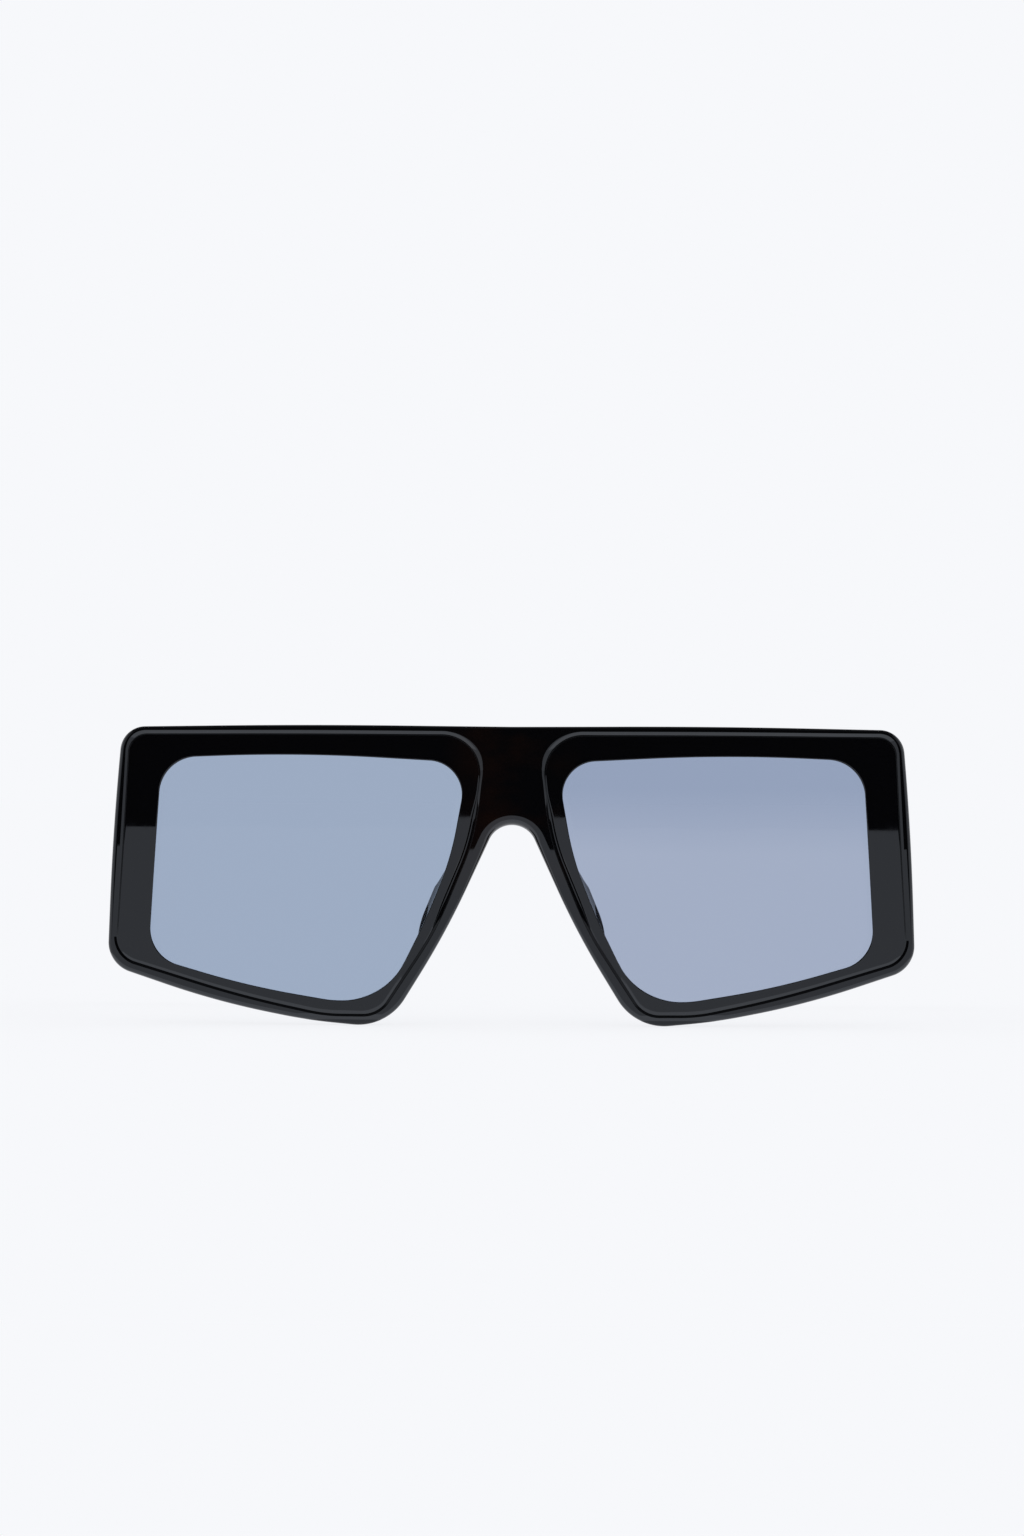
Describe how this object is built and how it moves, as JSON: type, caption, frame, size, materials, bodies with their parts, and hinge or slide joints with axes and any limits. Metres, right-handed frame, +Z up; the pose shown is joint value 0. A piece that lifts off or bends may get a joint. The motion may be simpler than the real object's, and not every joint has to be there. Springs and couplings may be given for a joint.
{
  "type": "sunglasses",
  "caption": "Oversized flat-top sunglasses with a glossy black moulded front, grooved rims, blue-grey tinted lenses and folding arms.",
  "frame": {"origin": "on the table that the part stands on, in the middle of its width and of its depth", "axes": "+X to the wearer's left, which is at the right of the front view; +Y backwards along the arms; +Z up"},
  "size_m": [0.15, 0.1495, 0.0557],
  "materials": {
    "front_acetate": "polished black",
    "arm_acetate": "polished black",
    "pad_acetate": "polished black",
    "tinted_lens": "polished, blue-grey tint",
    "hinge_steel": "satin",
    "screw_steel": "polished",
    "core_steel": "drawn"
  },
  "bodies": {
    "front": {"front_frame": "front_acetate", "lens_left": "tinted_lens", "lens_right": "tinted_lens", "nose_pad_left": "pad_acetate", "nose_pad_right": "pad_acetate", "front_hinge_left": "hinge_steel", "front_hinge_right": "hinge_steel", "hinge_screw_left": "screw_steel", "hinge_screw_right": "screw_steel"},
    "arm_left": {"temple_left": "arm_acetate", "temple_hinge_left": "hinge_steel", "temple_core_left": "core_steel"},
    "arm_right": {"temple_right": "arm_acetate", "temple_hinge_right": "hinge_steel", "temple_core_right": "core_steel"}
  },
  "joints": [
    {"name": "fold_left", "type": "hinge", "parent": "front", "child": "arm_left", "pos_m": [0.06745, -0.05658, 0.04424], "axis": [0, 0, 1], "range_deg": [0, 90]},
    {"name": "fold_right", "type": "hinge", "parent": "front", "child": "arm_right", "pos_m": [-0.06745, -0.05658, 0.04424], "axis": [0, 0, -1], "range_deg": [0, 84]}
  ]
}
